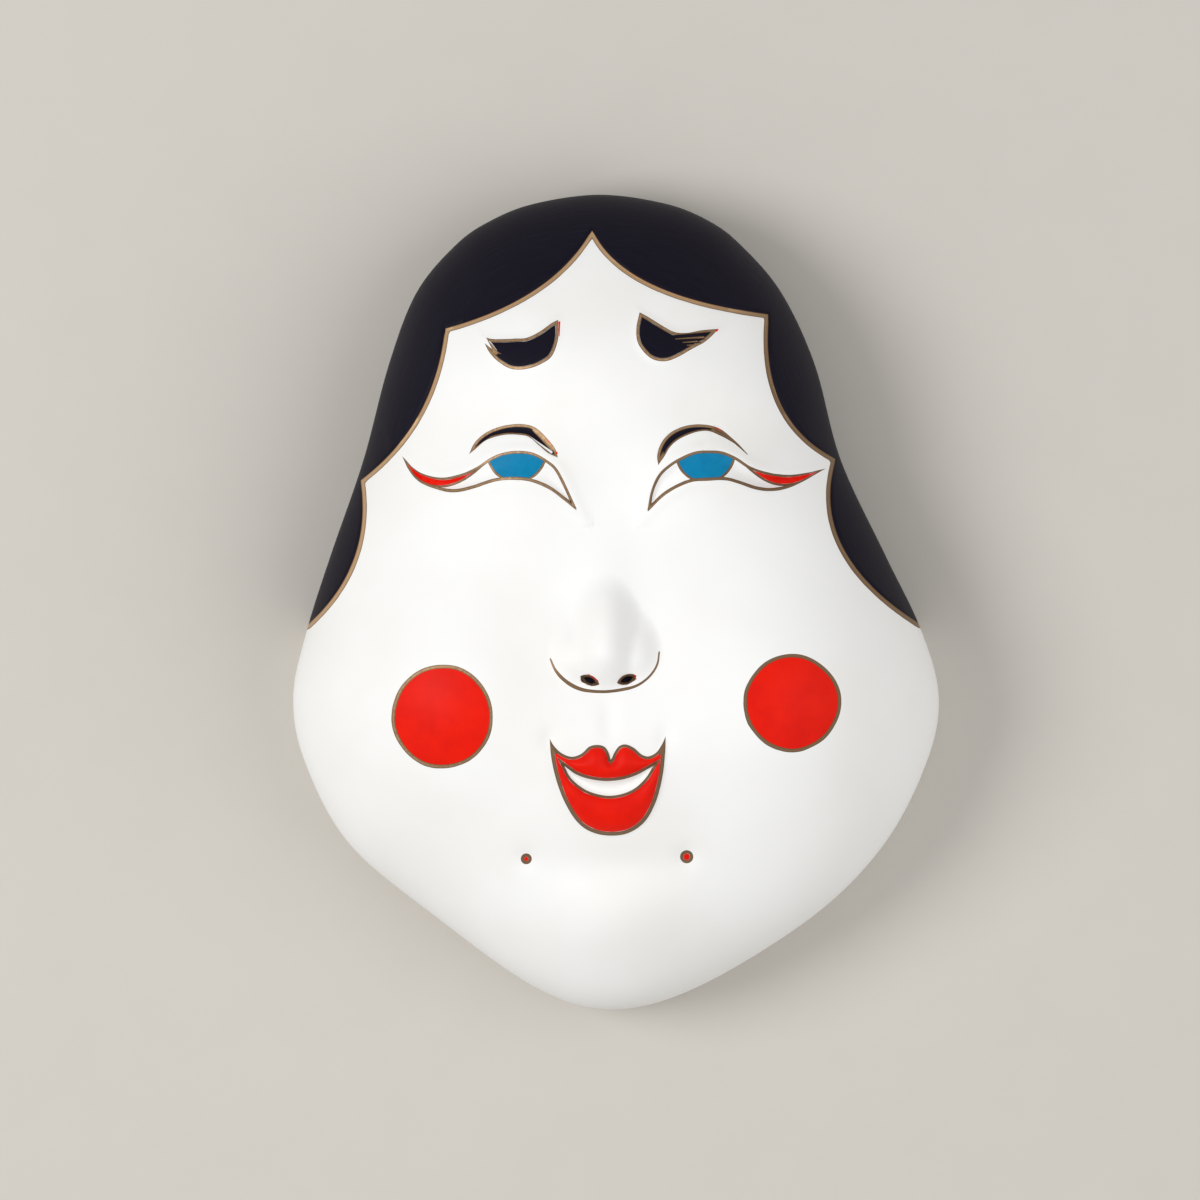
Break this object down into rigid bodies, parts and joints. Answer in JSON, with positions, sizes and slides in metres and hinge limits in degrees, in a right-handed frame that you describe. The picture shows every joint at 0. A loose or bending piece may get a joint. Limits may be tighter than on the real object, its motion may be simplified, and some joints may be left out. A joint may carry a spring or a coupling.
{
  "type": "okame mask",
  "caption": "Hollow carved wooden mask of a round-cheeked folk-theatre face, painted white, black and red, lying on its rim.",
  "frame": {"origin": "middle of the rim's plane, under the middle of the mask's outline", "axes": "+X across the face to the viewer's right, +Y from chin to crown, +Z out of the face, away from the rim"},
  "size_m": [0.1679, 0.2119, 0.0736],
  "materials": {
    "painted_wood": "shell-white ground on light wood, painted in black, red, blue and gold; bare stained wood inside"
  },
  "bodies": {
    "root": {"mask": "painted_wood"}
  },
  "joints": []
}
